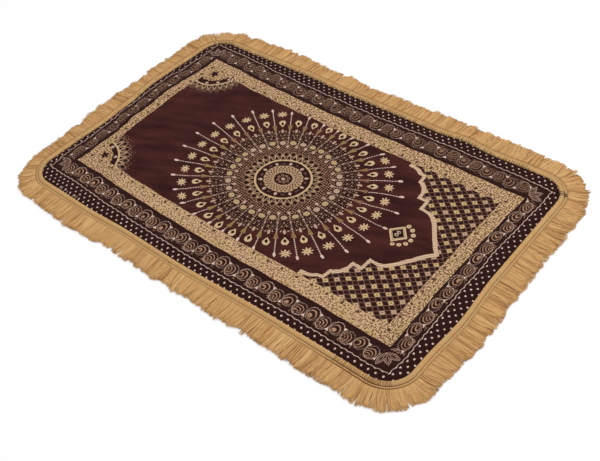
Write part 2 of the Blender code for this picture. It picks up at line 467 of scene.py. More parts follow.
rosetteSet = {
    "centre": -9.0,
    "rays": 32,
    "wide": 0.965,
    "long": 1.04,
    "net": (12.5, 11.0, 0.0, 0.35),  # two pitches, bend and unevenness
    "filigree": ((84.0, 138.0, 0.38), (138.0, 171.0, 0.76)),  # from, to, and how thin
    "teeth": 67.0,
    "heart": 62.5,  # the dark disc inside the teeth
    "core": (22.0, 45.5),
    "scallop": (1.6, 0.9),
    "mesh": {"from": 25.0, "to": 43.0, "round": 28, "start": 0.53, "row": 29.0, "pitch": 11.5,
             "thin": 0.05},
    "petals": 8,
    "eye": 4.6,
    "spots": 10,
    "spotStart": -0.1,  # rays from +Y to the first
    "mottle": (5.0, 53.0, 3.2, -0.2),  # between two spots: half width, radius, half length, flecks
    "rayFrom": 119.0,
    "rayTo": (77.0, 204.0, 218.0),  # growth towards the ends, radius without it, and the least
    "rayBeads": (6.0, 0.6, 0.9),  # pitch, change of half width, and half width
    "rayClear": (171.0, 0.5, 0.4),  # beyond the first it is clearer by the second
    "rayTip": (3.1, 5.0, 6.0),  # half width, how far from the end, and half length
    "odd": 0.45,  # share of the ovals and bells in the first of two colours
    "bell": (174.0, 194.0, 0.22, 1.6),  # from, to, slope and half width at the top
    # an oval, a point on it, a notch in the point and a dark seed: half width, radius, half length
    "drop": ((inOval, 8.0, 206.0, 8.6), (inDiamond, 8.6, 204.0, 15.0), (inDiamond, 3.2, 218.0, 6.5),
             (inDiamond, 4.3, 202.0, 7.0)),
    "flower": {"narrow": 0.84, "radius": 239.0, "petals": 8, "size": 8.0, "depth": 3.4, "eye": 2.4,
               "within": 56.25},  # they stand within this angle of the long axis
    # shape, the line it stands on, half width, radius, half length, thread or mix, and clearness
    "heartMotifs": (
        (inOval, "petal", 3.6, 12.5, 3.6, "haze", 1.0),
        (inOval, "petal", 1.5, 12.5, 1.5, "strip", 1.0),
        (inDiamond, "spot", 4.6, 53.0, 6.4, "pink", 1.0),
    ),
    "ringMotifs": (
        (inOval, "gap", 10.2, 128.5, 9.4, "strip", 1.0),
        (inOval, "gap", 7.8, 128.5, 7.0, "ovals", 1.0),
        (inOval, "ray", 3.5, 114.5, 4.6, "pink", 0.9),
        (inOval, "ray", 2.3, 145.0, 3.0, "pink", 0.85),
        (inOval, "ray", 2.0, 166.0, 2.6, "pink", 0.85),
        (inOval, "gap", 1.7, 146.0, 2.2, "pink", 0.85),
        (inOval, "beside", 1.3, 157.0, 1.8, "pink", 0.85),
        (inOval, "gap", 3.2, 174.0, 6.6, "pink", 0.9),
        (inOval, "bud", 1.9, 172.0, 1.9, "pink", 0.9),
    ),
    "beside": 5.0,  # from half way between two rays
    "bud": 8.0,
}


def paintMotifs(finish, colour, motifs, lines, radius):
    for shape, line, halfWide, middle, halfLong, thread, clear in motifs:
        motif = shape(lines[line], halfWide, radius - middle, halfLong)
        colour = finish.paint(colour, lines.get(thread, thread), motif * clear)
    return colour


def rosetteHeart(finish, colour, radius, turn, arc, flecks):
    sizes, rays = rosetteSet, rosetteSet["rays"]
    colour = finish.paint(colour, "strip", radius < sizes["heart"])
    period, depth = sizes["scallop"]
    core = between(radius + waveOf(turn, period) * depth, *sizes["core"])
    colour = finish.paint(colour, "core", core)
    mesh = sizes["mesh"]
    ways = waveOf(turn - mesh["start"], rays / mesh["round"])
    holes = ways * waveOf(radius - mesh["row"], mesh["pitch"]) > mesh["thin"]
    holes = core & between(radius, mesh["from"], mesh["to"]) & holes
    colour = finish.paint(colour, "fleck", holes)
    pitch = rays / sizes["spots"]
    lines = {"petal": fromMiddle(turn, rays / sizes["petals"]) * arc,
             "spot": fromMiddle(turn - sizes["spotStart"], pitch) * arc}
    colour = paintMotifs(finish, colour, sizes["heartMotifs"], lines, radius)
    colour = finish.paint(colour, "ovalPink", radius < sizes["eye"])
    halfWide, middle, halfLong, above = sizes["mottle"]
    spot = fromMiddle(turn - sizes["spotStart"] - pitch / 2, pitch) * arc
    mottle = inOval(spot, halfWide, radius - middle, halfLong) & (flecks > above)
    return finish.paint(colour, "mauve", mottle)


def rosetteRays(finish, colour, radius, onRay, tips):  # beaded lines that end in a pearl
    sizes = rosetteSet
    pitch, depth, middle = sizes["rayBeads"]
    ray = onRay < waveOf(radius, pitch) * depth + middle
    ray = ray & (radius > sizes["rayFrom"]) & (radius < tips)
    netEnd, more, clear = sizes["rayClear"]
    colour = finish.paint(colour, "dot", ray * ((radius > netEnd) * more + clear))
    halfWide, inside, halfLong = sizes["rayTip"]
    tip = inOval(onRay, halfWide, radius - tips + inside, halfLong)
    return finish.paint(colour, "dot", tip)


def rosetteDrops(finish, colour, radius, offRay):
    oval, point, notch, seed = (shape(offRay, halfWide, radius - middle, halfLong)
                                for shape, halfWide, middle, halfLong in rosetteSet["drop"])
    drop = oval | point
    colour = finish.paint(colour, "sand", drop - (notch & drop))
    return finish.paint(colour, "deep", seed)


def rosette(finish, ground, x, y, flecks):
    sizes = rosetteSet
    fromCentre = y - sizes["centre"]
    radius, turn, step, arc = polar(x, fromCentre, sizes["rays"], sizes["wide"], sizes["long"])
    onRay, offRay = step * arc, (0.5 - step) * arc
    net = crossings(x + y, x - y, flecks, *sizes["net"])
    start, end = sizes["filigree"][0][0], sizes["filigree"][-1][1]
    colour = finish.paint(ground, "strip", between(radius, start, end))
    for start, end, thin in sizes["filigree"]:
        ring = between(radius, start, end) & (net > thin)
        colour = finish.paint(colour, "filigree", ring)
    colour = teeth(finish, colour, radius - sizes["teeth"], step, onRay, offRay)
    colour = rosetteHeart(finish, colour, radius, turn, arc, flecks)
    alongAxis = abs(fromCentre / sizes["long"])
    growth, shortest, least = sizes["rayTo"]
    tips = (alongAxis / radius * growth + shortest) | least
    colour = rosetteRays(finish, colour, radius, onRay, tips)
    odd = finish.chance(turn.calc("FLOOR")) > sizes["odd"]
    lines = {"ray": onRay, "gap": offRay, "beside": offRay - sizes["beside"],
             "bud": offRay - sizes["bud"], "ovals": finish.paint("ovalPink", "ovalGold", odd)}
    colour = paintMotifs(finish, colour, sizes["ringMotifs"], lines, radius)
    start, end, slope, top = sizes["bell"]
    bell = between(radius, start, end) & (onRay < (radius - start) * slope + top)
    colour = finish.paint(colour, finish.paint("bell", "olive", odd), bell)
    colour = rosetteDrops(finish, colour, radius, offRay)
    flower = sizes["flower"]
    reach, petals = petalled(offRay * flower["narrow"], radius - flower["radius"], flower["petals"],
                             flower["size"], flower["depth"])
    nearEnd = alongAxis > radius * math.cos(math.radians(flower["within"]))
    colour = finish.paint(colour, "sand", petals & nearEnd)
    return finish.paint(colour, "tan", (reach < flower["eye"]) & nearEnd)


corner = {
    "left": {"place": (215.0, -442.0), "arc": 69.5, "inner": 49.0, "slant": 0.0, "pearls": 0.45},
    "right": {"place": (239.0, -461.0), "arc": 88.5, "inner": 70.0, "slant": 0.12, "pearls": 1.0},
    "net": (14.0, 12.5, 0.0, 0.4),  # two pitches, bend and unevenness
    "fade": (42.0, 1.1, -0.1),  # the net's reach, how much thinner it gets, and how thin at first
    "clear": 0.85,
    "ground": 26.0,
    "spots": (12, 1.2, 5.2, -10.0, 5.6),  # round it, start, half width, place and half length
    "inside": (14.5, 13.5, 4.0, 0.6),
    "insideFrom": -0.04,
    "scallop": (1.6, 1.2),
    "flower": (196.0, -432.0),
    "petals": (5, 9.5, 3.0),
}


def cornerRosette(finish, ground, x, y, flecks):
    onRight = x > 0
    ax = abs(x)
    left, right = corner["left"], corner["right"]
    placeX, placeY = (choose(onRight, right["place"][axis], left["place"][axis]) for axis in (0, 1))
    radius, turn, step, arc = polar(placeX - ax, y - placeY, rosetteSet["rays"])
    beyond = radius - choose(onRight, right["arc"], left["arc"])
    fade, thinner, thin = corner["fade"]
    net = crossings(x + y, x - y, flecks, *corner["net"]) > beyond * (thinner / fade) + thin
    net = net & (beyond < fade)
    colour = finish.paint(ground, "strip", (beyond < corner["ground"]) & onRight)
    netColour = finish.paint("mauve", "filigree", onRight)
    colour = finish.paint(colour, netColour, net * corner["clear"])
    pearls = choose(onRight, right["pearls"], left["pearls"])
    colour = teeth(finish, colour, beyond, step, step * arc, (0.5 - step) * arc, pearls)
    colour = finish.paint(colour, "strip", beyond < toothSet["base"])
    count, start, halfWide, middle, halfLong = corner["spots"]
    spot = fromMiddle(turn - start, rosetteSet["rays"] / count) * arc
    spots = inDiamond(spot, halfWide, beyond - middle, halfLong)
    colour = finish.paint(colour, "pink", spots)
    holes = crossings(x + y, x - y, flecks, *corner["inside"]) > corner["insideFrom"]
    inside = finish.paint("gold", "brown", holes * corner["clear"])
    flowerX, flowerY = corner["flower"]
    edge = choose(onRight, (flowerX - ax) * right["slant"] + right["inner"], left["inner"])
    period, depth = corner["scallop"]
    colour = finish.paint(colour, inside, radius < edge + waveOf(turn, period) * depth)
    _, flower = petalled(ax - flowerX, y - flowerY, *corner["petals"])
    return finish.paint(colour, "strip", flower)


arch = {
    "low": 200.0,
    "span": 220.0,
    "shift": 40.0,  # keeps the curve's values above nought
    "widest": 250.0,
    "halfBand": 3.6,
    # half the arch's width at places along the rug, from the border to the point
    "steps": ((200, 200), (213, 197), (224, 197), (233, 193), (241, 187), (254.5, 184.5),
              (256.5, 163), (262, 162), (274, 152), (282, 139), (283.5, 120), (305.5, 120),
              (307.5, 92), (322, 92.5), (332, 91), (343, 85), (353, 75), (361, 65), (370, 52),
              (381, 36), (396, 17), (413.5, -1), (423, -11)),
}


def archWidth(finish, y):
    points = [((place - arch["low"]) / arch["span"], (width + arch["shift"]) / arch["widest"])
              for place, width in arch["steps"]]
    along = (y - arch["low"]) / arch["span"]
    line = finish.node("FloatCurve", {"curve": points}, {"Value": along})
    return line * arch["widest"] - arch["shift"]


lattice = {
    "along": 36.5,
    "across": 30.0,
    "start": (174.0, 320.0),
    "edge": 0.25,  # from a diamond's middle to the lines round it
    "cell": 0.212,
    "line": 0.028,
    "eye": 0.07,
    "rowNumbers": 17,  # how far apart the rows of diamonds are numbered
    "pinkFrom": 0.72,
    "gap": 4.0,  # from the gold border's end to the arch
    "ridge": (7.0, 0.35),
}


def spandrels(finish, ground, x, y):
    ax = abs(x)
    along = (y - lattice["start"][1]) / lattice["along"]
    across = (ax - lattice["start"][0]) / lattice["across"]
    first = fromMiddle(along + across, 1)
    second = fromMiddle(along - across, 1)
    size, eye, edge = lattice["cell"], lattice["eye"], lattice["edge"]
    colour = finish.paint("strip", "fieldDark", (first > edge) & (second > edge))
    line = (abs(first - edge) < lattice["line"]) | (abs(second - edge) < lattice["line"])
    colour = finish.paint(colour, "netLine", line)
    # each diamond has a number of its own
    row = (along - across).calc("ROUND")
    number = (along + across).calc("ROUND") + row * lattice["rowNumbers"]
    pinker = finish.chance(number) > lattice["pinkFrom"]
    diamond = finish.paint("diamond", "diamondPink", pinker)
    colour = finish.paint(colour, diamond, (first < size) & (second < size))
    colour = finish.paint(colour, "fleck", (first < eye) & (second < eye))
    half = arch["halfBand"]
    inField = (ax < design["fieldSide"]) & (y > arch["low"] + lattice["gap"])
    outer = ax - half < archWidth(finish, y - half)
    inner = ax + half < archWidth(finish, y + half)
    colour = finish.paint(ground, colour, (1 - outer) & inField)
    pitch, above = lattice["ridge"]
    band = finish.paint("archLight", "archDark", waveOf(x + y, pitch) > above)
    return finish.paint(colour, band, (outer - inner) & inField)


pendantSet = {
    "middle": (-2.8, 310.0),
    "halfWide": 27.0,
    "halfLong": 24.0,
    "line": (0.74, 0.80),
    "dark": 0.66,
    "curl": (4.6, -1.0, 4.2, 5.0),  # place across and along, and its two halves
    "curlHole": (4.8, 0.0, 1.6, 2.2),
    "beads": (31.0, 2.0, 27.0, 3.5),  # radius and shift of their arc, angle apart, half their count
    "beadSizes": (("field", 7.2, 6.6), ("sand", 5.2, 5.2), ("shade", 1.5, 1.5)),
}


def pendant(finish, ground, x, y):
    x = x - pendantSet["middle"][0]
    y = y - pendantSet["middle"][1]
    reach = abs(x) / pendantSet["halfWide"] + abs(y) / pendantSet["halfLong"]
    colour = finish.paint(ground, "sand", reach < 1)
    colour = finish.paint(colour, "shade", between(reach, *pendantSet["line"]))
    dark = reach < pendantSet["dark"]
    colour = finish.paint(colour, "deep", dark)
    curl, hole = (inOval(abs(x) - across, halfWide, y - along, halfLong) for
                  across, along, halfWide, halfLong in (pendantSet["curl"], pendantSet["curlHole"]))
    colour = finish.paint(colour, "ovalPink", (curl - hole) & dark)
    middle, shift, apart, half = pendantSet["beads"]
    radius, turn, step, arc = polar(x, y - shift, 360 / apart)
    for thread, halfWide, halfLong in pendantSet["beadSizes"]:
        bead = (abs(turn) < half) & inOval(step * arc, halfWide, radius - middle, halfLong)
        colour = finish.paint(colour, thread, bead)
    return colour


sheenAndGrainSet = {
    "across": (0.36, 0.15),  # its soft streaks of painted sheen and shade follow these shares of x and y
    "along": (-0.05, 0.10),
    "scale": 0.085,
    "sheenStreaks": 1.9,
    "grainScale": 0.26,
    "grain": 0.9,
    "dark": 0.9,
}


def mottled(finish, x, y):  # the plain dark ground, with soft streaks of painted sheen and shade and a random grain of tone
    across, along = (x * sheenAndGrainSet[way][0] + y * sheenAndGrainSet[way][1] for way in ("across", "along"))
    # painted sheen and shade: broad soft lighter and darker streaks; the finer grain below is random
    # tone
    sheenStreaks = finish.noise(across, along, sheenAndGrainSet["scale"]) * sheenAndGrainSet["sheenStreaks"]
    grain = finish.noise(x, y, sheenAndGrainSet["grainScale"]) * sheenAndGrainSet["grain"]
    bright = sheenStreaks + grain - sheenAndGrainSet["dark"]
    return finish.paint("fieldDark", "fieldLight", bright)


def weaveFinish(name):
    return Finish(name, roughness=0.95, specular=0.08)


def startWeave(name):
    finish = weaveFinish(name)
    x, y = stepped(finish)
    return finish, x, y, speckle(finish, x, y)


def closeWeave(finish, colour):  # fine rows of thread over the whole cloth
    x = finish.onMap("weave")
    rows = waveOf(x, design["thread"]) * waveOf(x.also(1), design["thread"])
    return finish.close(colour, rows, 0.0002)


def closeInner(finish, colour, x, y, flecks):
    colour = goldBorder(finish, colour, x, y, flecks)
    outer = (abs(x) > design["halfWidth"]) | (abs(y) > design["halfLength"])
    return closeWeave(finish, finish.paint(colour, "strip", outer))


def makeFieldFinish():
    finish, x, y, flecks = startWeave("fieldWeave")
    colour = rosette(finish, mottled(finish, x, y), x, y, flecks)
    colour = spandrels(finish, colour, x, y)
    colour = pendant(finish, colour, x, y)
    return closeInner(finish, colour, x, y, flecks)


def makeFootFinish():
    finish, x, y, flecks = startWeave("footWeave")
    colour = cornerRosette(finish, mottled(finish, x, y), x, y, flecks)
    return closeInner(finish, colour, x, y, flecks)


guard = {
    "side": 301.5,
    "arch": 512.5,
    "foot": -518.5,
    "pitch": 17.12,
    "zigzag": 0.26,
    "inside": 4.5,  # the dark edge begins this far inside it
    "line": (1.8, 0.65),
    "knot": (2.2, 0.6),
}
dots = {
    "side": {"first": 11.0, "row": 10.5, "pitch": 17.12, "start": -4.5},
    "end": {"first": 7.0, "row": 8.8, "pitch": 20.68, "start": 8.5},
    "from": 5.0,
    "size": 2.2,
    "farSize": 1.95,
}
scroll = {
    "side": {"middle": 275.0, "half": 19.5, "pitch": 30.65, "start": 331.4},
    "arch": {"middle": 492.5, "half": 14.5},
    "foot": {"middle": -497.0, "half": -14.0},  # less than nought, as it faces the other way
    "endPitch": 37.5,
    "endFrom": 252.0,
    "endNumbers": 40,  # leaves at the ends are numbered from here
    "reach": 1.05,  # how far the design reaches each way from the band's middle
    "shift": 0.14,  # every second leaf lies further out
    "rough": 0.04,
    "tilt": (1.1, 0.3),  # how much the veins' tilt varies, and the least of it
    "gather": 1.98,  # how close to one point the veins meet, at most 2
    "nest": 0.24,  # from vein to vein, as a share of a leaf
    "veins": (0.62, 0.86),  # how thin they are, and how far out they reach
    "clear": (0.85, 0.5),  # how clear the lines are on the near sides and on the far ones
    "rim": (0.925, 1.01),
    "rimClear": (0.8, 0.42),  # on the leaf's outer part and at its root
    "rimFrom": -0.15,
    "mottle": (15.0, 13.0, 3.0, 0.7),
    "mottleFrom": 0.25,
    "mottleReach": 0.95,
    "curls": (12.0, 10.5, 5.0, 0.6),
    "curlsFrom": 0.62,
    "curlsReach": 0.9,
    "curlsClear": 0.25,
    "bud": (0.55, 0.8, 0.20, -0.25, 0.12),  # small leaves where the bends meet
    "corner": (262.0, 477.0, -483.0),  # where the three leaves across a corner begin
    "cornerMargin": 7.0,
    "cornerTurn": 0.72,
    "cornerLeaf": (17.0, 16.5, 6.8),  # its middle, half length and half width
    "cornerVeins": ((0.74, 1.0), (0.30, 0.48)),
    "cornerEnd": 36.0,
    "cornerClear": 0.7,
}


def edgeDots(finish, ground, beyond, x, y, onSide):
    first, gap, pitch, start = (choose(onSide, dots["side"][key], dots["end"][key])
                                for key in ("first", "row", "pitch", "start"))
    row = (beyond - first) / gap
    along = (choose(onSide, y, x) - start) / pitch
    number = row.calc("ROUND")
    across = fromMiddle(along - (number % 2) / 2, 1) * pitch
    size = choose(x > 0, dots["size"], dots["farSize"])
    dot = (reachOf(across, (row - number) * gap) < size) & (beyond > dots["from"])
    return finish.paint(ground, "dot", dot)


def cornerLeaves(finish, ground, x, y, mottle):  # three, from their common root
    reach = reachOf(x, y)
    turn = abs(y.calc("ARCTAN2", x) - math.pi / 4)
    apart = scroll["cornerTurn"]
    turn = choose(turn > apart / 2, abs(turn - apart), turn)
    middle, half, halfWide = scroll["cornerLeaf"]
    rib = (reach * turn.calc("COSINE") - middle) / half
    leafReach = reach * turn.calc("SINE") / halfWide + rib * rib
    colour = finish.paint(ground, "scrollShade", mottle & (reach < scroll["cornerEnd"]))
    rim, vein = (between(leafReach, *line) for line in scroll["cornerVeins"])
    return finish.paint(colour, "pink", (rim | vein) * scroll["cornerClear"])


def scrollLeaf(finish, colour, across, out, reach, tilt, clear):
    # its veins are circles within each other that all touch at the leaf's root
    root = (across * tilt.calc("SINE") - out * tilt.calc("COSINE")) * scroll["gather"]
    nest = (reach * reach + root + 1) / (root + 2)
    thin, last = scroll["veins"]
    veins = (waveOf(nest, scroll["nest"]) > thin) & (nest < last)
    return finish.paint(colour, "scrollLine", veins * clear)


def scrollBand(finish, ground, x, y, flecks):
    ax = abs(x)
    onEnd = ax < scroll["endFrom"]
    side, ends = scroll["side"], (scroll["arch"], scroll["foot"])
    endPlace = choose(y > 0, *((y - end["middle"]) / end["half"] for end in ends))
    out = choose(onEnd, endPlace, (ax - side["middle"]) / side["half"])
    along = choose(onEnd, x / scroll["endPitch"], (y - side["start"]) / side["pitch"])
    number = along.calc("ROUND")
    sign = 1 - (number % 2) * 2
    near = ((x > 0) | (y > design["halfLength"])) & (y > -design["halfLength"])
    clear = choose(near, *scroll["clear"])
    mottle = crossings(x + y, x - y, flecks, *scroll["mottle"]) > scroll["mottleFrom"]
    colour = finish.paint(ground, "scrollShade", mottle & (abs(out) < scroll["mottleReach"]))
    # a winding line, with a leaf in each of its bends
    across = (along - number) * 2
    rise = (out * sign - scroll["shift"]) / (1 - scroll["shift"])
    reach = reachOf(across, rise) + flecks * scroll["rough"]
    varies, least = scroll["tilt"]
    tilt = finish.chance(number + onEnd * scroll["endNumbers"]) * varies + least
    colour = scrollLeaf(finish, colour, across, out, reach, tilt, clear)
    curls = crossings(x + y * 0.5, x * 0.5 - y, flecks, *scroll["curls"]) > scroll["curlsFrom"]
    curls = curls & (abs(out) < scroll["curlsReach"]) & (1 - near)
    colour = finish.paint(colour, "scrollLine", curls * scroll["curlsClear"])
    rim = between(reach, *scroll["rim"])
    rim = rim * choose(rise > scroll["rimFrom"], *scroll["rimClear"])
    colour = finish.paint(colour, "guardLine", rim * clear)
    middle, slope, wide, low, high = scroll["bud"]
    budY = out * sign * ((across > 0) * 2 - 1) - middle
    bud = (1 - abs(across) < budY * slope + wide) & between(budY, low, high)
    colour = finish.paint(colour, "dot", bud)
    colour = finish.paint(ground, colour, abs(out) < scroll["reach"])
    startX, startArch, startFoot = scroll["corner"]
    cornerX, cornerY = ax - startX, choose(y > 0, y - startArch, startFoot - y)
    inCorner = (cornerX > -scroll["cornerMargin"]) & (cornerY > -scroll["cornerMargin"])
    leaves = cornerLeaves(finish, ground, cornerX, cornerY, mottle)
    return finish.paint(colour, leaves, inCorner)


def makeBorderFinish():
    finish, x, y, flecks = startWeave("borderWeave")
    colour = scrollBand(finish, "strip", x, y, flecks)
    beyondSide = abs(x) - guard["side"]
    beyondEnd = (y - guard["arch"]) | (guard["foot"] - y)
    onSide = beyondSide > beyondEnd
    beyond = beyondSide | beyondEnd
    colour = finish.paint(colour, "strip", beyond > -guard["inside"])
    along = choose(onSide, y - dots["side"]["start"], x)
    picot = fromMiddle(along - guard["pitch"] / 2, guard["pitch"])
    middle, half = guard["line"]
    knot, wider = guard["knot"]
    line = abs(beyond - middle + picot * guard["zigzag"]) < half + (picot < knot) * wider
    colour = finish.paint(colour, "guardLine", line)
    return closeWeave(finish, edgeDots(finish, colour, beyond, x, y, onSide))


def makeBackingFinish():
    finish = weaveFinish("plainBacking")
    place = finish.node("TexCoord", None, None, "Object")
    weave = finish.node("TexNoise", None, {"Vector": place, "Scale": 400.0})
    return closeWeave(finish, finish.paint("backing", "strip", weave))


# Pieces
def placePiece(name, mesh, finishes):
    for finish in finishes:
        mesh.materials.append(finish)
    piece = bpy.data.objects.new(name, mesh)
    bpy.context.scene.collection.objects.link(piece)
    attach(piece, "root")
    return piece


def toMesh(name, bm):
    bmesh.ops.recalc_face_normals(bm, faces=bm.faces)
    mesh = bpy.data.meshes.new(name)
    bm.to_mesh(mesh)
    bm.free()
    mesh.shade_smooth()
    mesh.set_sharp_from_angle(angle=math.radians(50))
    return mesh


def uvMap(mesh, name, places):  # places holds one pair for each face corner
    layer = mesh.uv_layers.new(name=name, do_init=False)
    layer.uv.foreach_set("vector", np.asarray(places, np.float32).ravel())


cloth = {
    "cell": 0.004,  # the mesh follows the quilting, with 15 cells to a pitch
    "quiltPitch": 0.060,
    "edgeThickness": 0.0042,
    "rimWidth": 0.010,
    "stitchHeight": 0.0050,
    "crownHeight": 0.0071,
    "cornerCuts": 12,
    "ripple": 0.0003,  # unevenness of the padding
    "rippleTurns": (61, 23, 47),
    "cutMargin": 0.01,  # only faces this near a cut are looked at
}


def trim(bm, point, normal, near):
    faces = [face for face in bm.faces if near(face.calc_center_median())]
    edges = dict.fromkeys(edge for face in faces for edge in face.edges)
    corners = dict.fromkeys(corner for face in faces for corner in face.verts)
    bmesh.ops.bisect_plane(bm, geom=[*faces, *edges, *corners], dist=1e-5, plane_co=point,
                           plane_no=normal, clear_outer=True)


def clothHeight(x, y):
    u = (x + y) / math.sqrt(2) / cloth["quiltPitch"]
    v = (x - y) / math.sqrt(2) / cloth["quiltPitch"]
    fullness = np.sqrt(np.abs(np.sin(math.pi * u) * np.sin(math.pi * v)))
    padded = cloth["stitchHeight"] + (cloth["crownHeight"] - cloth["stitchHeight"]) * fullness
    first, second, third = cloth["rippleTurns"]
    ripple = np.sin(x * first + 2 * np.sin(y * second)) * np.sin(y * third + 2)
    padded += cloth["ripple"] * ripple
    depth, _, _ = insideDepth(x, y)
    rise = np.clip(depth / cloth["rimWidth"], 0, 1)
    rise = rise * rise * (3 - 2 * rise)
    return cloth["edgeThickness"] + (padded - cloth["edgeThickness"]) * rise


def makeCloth():
    halfX, halfY, radius = (outline[key] for key in ("halfWidth", "halfLength", "cornerRadius"))
    near = cloth["cutMargin"]
    bm = bmesh.new()
    reach = math.ceil((halfX + halfY) / math.sqrt(2) / cloth["cell"])
    bmesh.ops.create_grid(bm, x_segments=2 * reach, y_segments=2 * reach,
                          size=reach * cloth["cell"], matrix=Matrix.Rotation(math.pi / 4, 4, "Z"))
    for direction, half in (((1, 0, 0), halfX), ((0, 1, 0), halfY)):
        for sign in (1, -1):
            normal = Vector(direction) * sign
            trim(bm, normal * half, normal, lambda centre: centre.dot(normal) > half - near)
            far = [face for face in bm.faces if face.calc_center_median().dot(normal) > half]
            bmesh.ops.delete(bm, geom=far, context="FACES")
    for signX in (1, -1):
        for signY in (1, -1):
            centre = Vector((signX * (halfX - radius), signY * (halfY - radius), 0))
            for step in range(1, cloth["cornerCuts"]):
                turn = step / cloth["cornerCuts"] * math.pi / 2
                normal = Vector((signX * math.cos(turn), signY * math.sin(turn), 0))
                trim(bm, centre + normal * radius, normal,
                     lambda middle: (middle - centre).dot(normal) > radius - near
                     and (middle - centre).length < 2 * radius)
    # down to the seam margin, out under the heading, and down to the floor
    rings = []
    rim = [edge for edge in bm.edges if edge.is_boundary]
    for _ in range(3):
        grown = bmesh.ops.extrude_edge_only(bm, edges=rim)["geom"]
        rim = [g for g in grown if isinstance(g, bmesh.types.BMEdge) and g.is_boundary]
        rings.append([g for g in grown if isinstance(g, bmesh.types.BMVert)])
    bmesh.ops.contextual_create(bm, geom=rim)
    bm.verts.index_update()
    places = np.array([corner.co for corner in bm.verts])
    x, y = places[:, 0].copy(), places[:, 1].copy()
    z = clothHeight(x, y)
    _, outX, outY = insideDepth(x, y)
    margin, thickness = outline["marginWidth"], outline["marginThickness"]
    for ring, offset, height in zip(rings, (0, margin, margin), (thickness, thickness, 0)):
        rows = [corner.index for corner in ring]
        x[rows] += outX[rows] * offset
        y[rows] += outY[rows] * offset
        z[rows] = height
    x, y = uneven(x, y)
    for corner, place in zip(bm.verts, zip(x, y, z)):
        corner.co = place
    return toMesh("rugCloth", bm)


def finishCloth(mesh, finishes):
    corners = np.empty(len(mesh.loops), np.int32)
    mesh.loops.foreach_get("vertex_index", corners)
    places = np.empty(len(mesh.vertices) * 3, np.float32)
    mesh.vertices.foreach_get("co", places)
    places = places.reshape(-1, 3)[corners]
    uvMap(mesh, "weave", np.column_stack(designPlace(places[:, 0], places[:, 1])))
    for face in mesh.polygons:
        x, y = designPlace(face.center.x, face.center.y)
        past = max(abs(x) - design["halfWidth"], abs(y) - design["halfLength"])
        if face.normal.z < 0.5 or face.center.z < outline["marginThickness"] * 1.2:
            face.material_index = 3
        elif past < design["join"]:
            face.material_index = 0 if y > design["footFrom"] else 1
        else:
            face.material_index = 2
    piece = placePiece("rugCloth", mesh, finishes)
    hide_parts("rug_cloth")
    return piece


clothPiece = finishCloth(makeCloth(), [makeFieldFinish(), makeFootFinish(), makeBorderFinish(),
                                       makeBackingFinish()])
print("cloth made", len(clothPiece.data.polygons))


# Heading of the fringe: a roll over the cloth's edge and a sewn strip beyond it
heading = {
    "stations": 896,
    "bakeStrips": 8,  # its texture is laid out in these, one above the other
    "bakeMargin": 0.02,
    "yarns": 780,  # bound side by side in it
    "clearance": 0.0003,
    "profile": ((0.0195, 0.0016), (0.0190, 0.0034), (0.0180, 0.0041), (0.0166, 0.0036),
                (0.0150, 0.0042), (0.0125, 0.0042), (0.0108, 0.0034), (0.0096, 0.0050),
                (0.0084, 0.0067), (0.0066, 0.0078), (0.0045, 0.0081), (0.0024, 0.0078),
                (0.0008, 0.0067), (0.0000, 0.0052)),
}


def makeHeading(finish):
    margin = outline["marginWidth"] + heading["clearance"]
    ledge = outline["marginThickness"] + heading["clearance"]
    profile = np.array((*heading["profile"], (heading["clearance"], cloth["edgeThickness"]),
                        (heading["clearance"], ledge), (margin, ledge), (margin, 0.0),
                        (heading["profile"][0][0], 0.0)))
    bm = bmesh.new()
    bmesh.ops.create_grid(bm, x_segments=heading["stations"], y_segments=len(profile), size=0.5)
    flat = np.array([corner.co for corner in bm.verts])
    share = flat[:, 0] + 0.5
    row = np.rint((flat[:, 1] + 0.5) * len(profile)).astype(int) % len(profile)
    layer, baked = bm.loops.layers.uv.new("yarn"), bm.loops.layers.uv.new("OFBake")
    strips, spare = heading["bakeStrips"], heading["bakeMargin"]
    for face in bm.faces:
        strip = math.floor((face.calc_center_median().x + 0.5) * strips)
        for loop in face.loops:
            x, y = loop.vert.co.xy
            loop[layer].uv = (x, y)
            height = spare + (y + 0.5) * (1 - 2 * spare)
            loop[baked].uv = ((x + 0.5) * strips - strip, (strip + height) / strips)
    for corner, place in zip(bm.verts, outside(share, profile[row, 0], profile[row, 1])):
        corner.co = place
    bmesh.ops.remove_doubles(bm, verts=bm.verts, dist=1e-5)
    piece = placePiece("fringeHeading", toMesh("fringeHeading", bm), [finish])
    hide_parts("fringe")
    return piece


yarnLook = {
    "dark": (0.3, 2.6),  # yarns below this tone are darker, and how fast
    "light": (0.62, 1.6),
    "twist": 2.2,  # millimetres for one turn
    "threadTwist": 0.7,
    "gap": (-0.55, 0.75),  # painted shade in the grooves between the heading's yarns
}


def toneOf(finish):
    return finish.node("Attribute", {"attribute_name": "tone"}, None, 2)


def twistOf(finish, pitch):  # ridges that wind round a yarn
    along = finish.onMap("yarn")
    return waveOf(along * 1000 + along.also(1) * pitch, pitch)


def makeYarnFinish():
    finish = Finish("fringeYarn", roughness=0.82, specular=0.12)
    tone = toneOf(finish)
    below, darkening = yarnLook["dark"]
    above, lightening = yarnLook["light"]
    # the tone holds random differences and the painted shade of the lower layers and clump sides
    dark = (tone < below) * (below - tone) * darkening
    colour = finish.paint("yarn", "yarnDark", dark)
    light = (tone > above) * (tone - above) * lightening
    colour = finish.paint(colour, "yarnLight", light)
    return finish.close(colour, twistOf(finish, yarnLook["twist"]), 0.0002)


def makeHeadingFinish():
    finish = Finish("fringeHeading", roughness=0.85, specular=0.12)
    along = finish.onMap("yarn") * heading["yarns"]
    ridge = waveOf(along - 0.5, 1)
    colour = finish.paint("roll", "yarn", finish.chance(along.calc("FLOOR")))
    below, clear = yarnLook["gap"]
    # painted shade: yarnDark in the low grooves between the bound yarns
    colour = finish.paint(colour, "yarnDark", (ridge < below) * clear)
    return finish.close(colour, ridge, 0.0008, 0.7)


